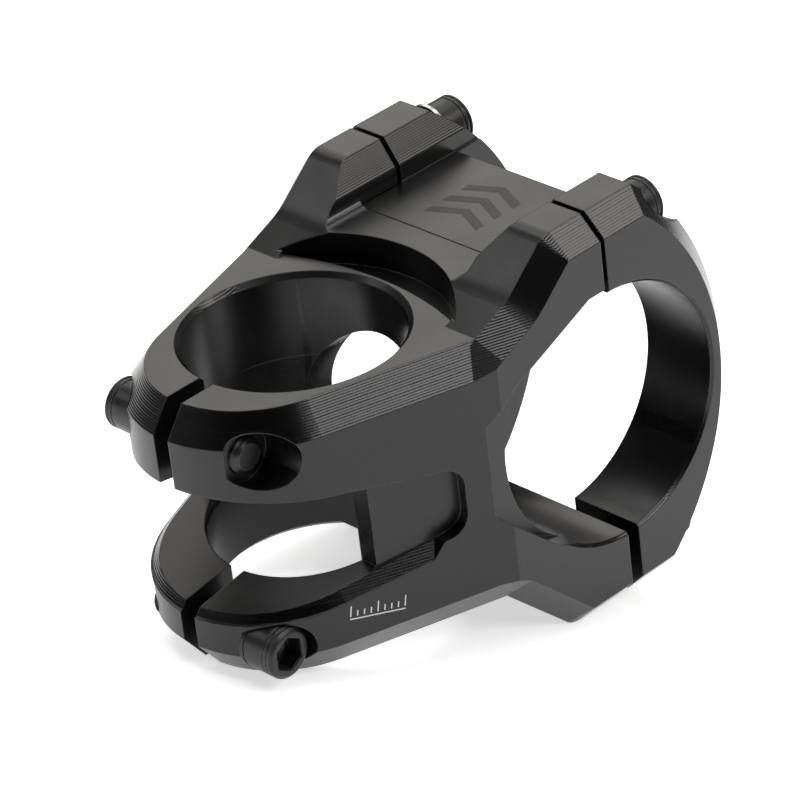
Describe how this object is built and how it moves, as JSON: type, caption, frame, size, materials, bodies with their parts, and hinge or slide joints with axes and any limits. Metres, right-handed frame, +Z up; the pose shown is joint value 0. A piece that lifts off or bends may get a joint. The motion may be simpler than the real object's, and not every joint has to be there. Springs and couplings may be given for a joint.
{
  "type": "bicycle handlebar stem",
  "caption": "Short bicycle stem: split clamp for the steerer tube with two pinch bolts, wide bar clamp with a two-loop bolted faceplate",
  "frame": {"origin": "on the steerer tube's axis, at the foot of the steerer clamp", "axes": "+X forwards from the steerer to the bar, +Y to the rider's left along the bar, +Z up along the steerer"},
  "size_m": [0.0777, 0.047, 0.0568],
  "materials": {
    "stem_body": "black anodised, machined, semi-gloss",
    "faceplate": "black anodised, machined, semi-gloss",
    "bolt_steel": "black oxide",
    "washer_steel": "plain zinc"
  },
  "bodies": {
    "stem_body": {"stem_body": "stem_body"},
    "faceplate": {"faceplate": "faceplate"},
    "face_washer_upper_left": {"face_washer_upper_left": "washer_steel"},
    "face_bolt_upper_left": {"face_bolt_upper_left": "bolt_steel"},
    "face_washer_upper_right": {"face_washer_upper_right": "washer_steel"},
    "face_bolt_upper_right": {"face_bolt_upper_right": "bolt_steel"},
    "face_washer_lower_left": {"face_washer_lower_left": "washer_steel"},
    "face_bolt_lower_left": {"face_bolt_lower_left": "bolt_steel"},
    "face_washer_lower_right": {"face_washer_lower_right": "washer_steel"},
    "face_bolt_lower_right": {"face_bolt_lower_right": "bolt_steel"},
    "pinch_washer_upper": {"pinch_washer_upper": "washer_steel"},
    "pinch_bolt_upper": {"pinch_bolt_upper": "bolt_steel"},
    "pinch_washer_lower": {"pinch_washer_lower": "washer_steel"},
    "pinch_bolt_lower": {"pinch_bolt_lower": "bolt_steel"}
  },
  "joints": [
    {"name": "faceplate_off", "type": "slide", "parent": "stem_body", "child": "faceplate", "axis": [1, 0, 0], "range_m": [0, 0.03]},
    {"name": "face_bolt_upper_left_out", "type": "slide", "parent": "faceplate", "child": "face_washer_upper_left", "axis": [1, 0, 0], "range_m": [-0.0025, 0.005]},
    {"name": "face_bolt_upper_left_turn", "type": "hinge", "parent": "face_washer_upper_left", "child": "face_bolt_upper_left", "pos_m": [0.0431, 0.018, 0.0413], "axis": [1, 0, 0], "range_deg": [-2250, 1125]},
    {"name": "face_bolt_upper_right_out", "type": "slide", "parent": "faceplate", "child": "face_washer_upper_right", "axis": [1, 0, 0], "range_m": [0, 0.0075]},
    {"name": "face_bolt_upper_right_turn", "type": "hinge", "parent": "face_washer_upper_right", "child": "face_bolt_upper_right", "pos_m": [0.0406, -0.018, 0.0413], "axis": [1, 0, 0], "range_deg": [-3375, 0]},
    {"name": "face_bolt_lower_left_out", "type": "slide", "parent": "faceplate", "child": "face_washer_lower_left", "axis": [1, 0, 0], "range_m": [0, 0.0075]},
    {"name": "face_bolt_lower_left_turn", "type": "hinge", "parent": "face_washer_lower_left", "child": "face_bolt_lower_left", "pos_m": [0.0406, 0.018, -0.0053], "axis": [1, 0, 0], "range_deg": [-3375, 0]},
    {"name": "face_bolt_lower_right_out", "type": "slide", "parent": "faceplate", "child": "face_washer_lower_right", "axis": [1, 0, 0], "range_m": [0, 0.0075]},
    {"name": "face_bolt_lower_right_turn", "type": "hinge", "parent": "face_washer_lower_right", "child": "face_bolt_lower_right", "pos_m": [0.0406, -0.018, -0.0053], "axis": [1, 0, 0], "range_deg": [-3375, 0]},
    {"name": "pinch_bolt_upper_out", "type": "slide", "parent": "stem_body", "child": "pinch_washer_upper", "axis": [0, 1, 0], "range_m": [0, 0.019]},
    {"name": "pinch_bolt_upper_turn", "type": "hinge", "parent": "pinch_washer_upper", "child": "pinch_bolt_upper", "pos_m": [-0.0178, 0.0083, 0.032], "axis": [0, 1, 0], "range_deg": [-8550, 0]},
    {"name": "pinch_bolt_lower_out", "type": "slide", "parent": "stem_body", "child": "pinch_washer_lower", "axis": [0, -1, 0], "range_m": [0, 0.019]},
    {"name": "pinch_bolt_lower_turn", "type": "hinge", "parent": "pinch_washer_lower", "child": "pinch_bolt_lower", "pos_m": [-0.0188, -0.0083, 0.0051], "axis": [0, -1, 0], "range_deg": [-8550, 0]}
  ],
  "couplings": [
    {"joint": "face_bolt_upper_left_turn", "follows": "face_bolt_upper_left_out", "rad_per_m": -7854},
    {"joint": "face_bolt_upper_right_turn", "follows": "face_bolt_upper_right_out", "rad_per_m": -7854},
    {"joint": "face_bolt_lower_left_turn", "follows": "face_bolt_lower_left_out", "rad_per_m": -7854},
    {"joint": "face_bolt_lower_right_turn", "follows": "face_bolt_lower_right_out", "rad_per_m": -7854},
    {"joint": "pinch_bolt_upper_turn", "follows": "pinch_bolt_upper_out", "rad_per_m": -7854},
    {"joint": "pinch_bolt_lower_turn", "follows": "pinch_bolt_lower_out", "rad_per_m": -7854}
  ]
}
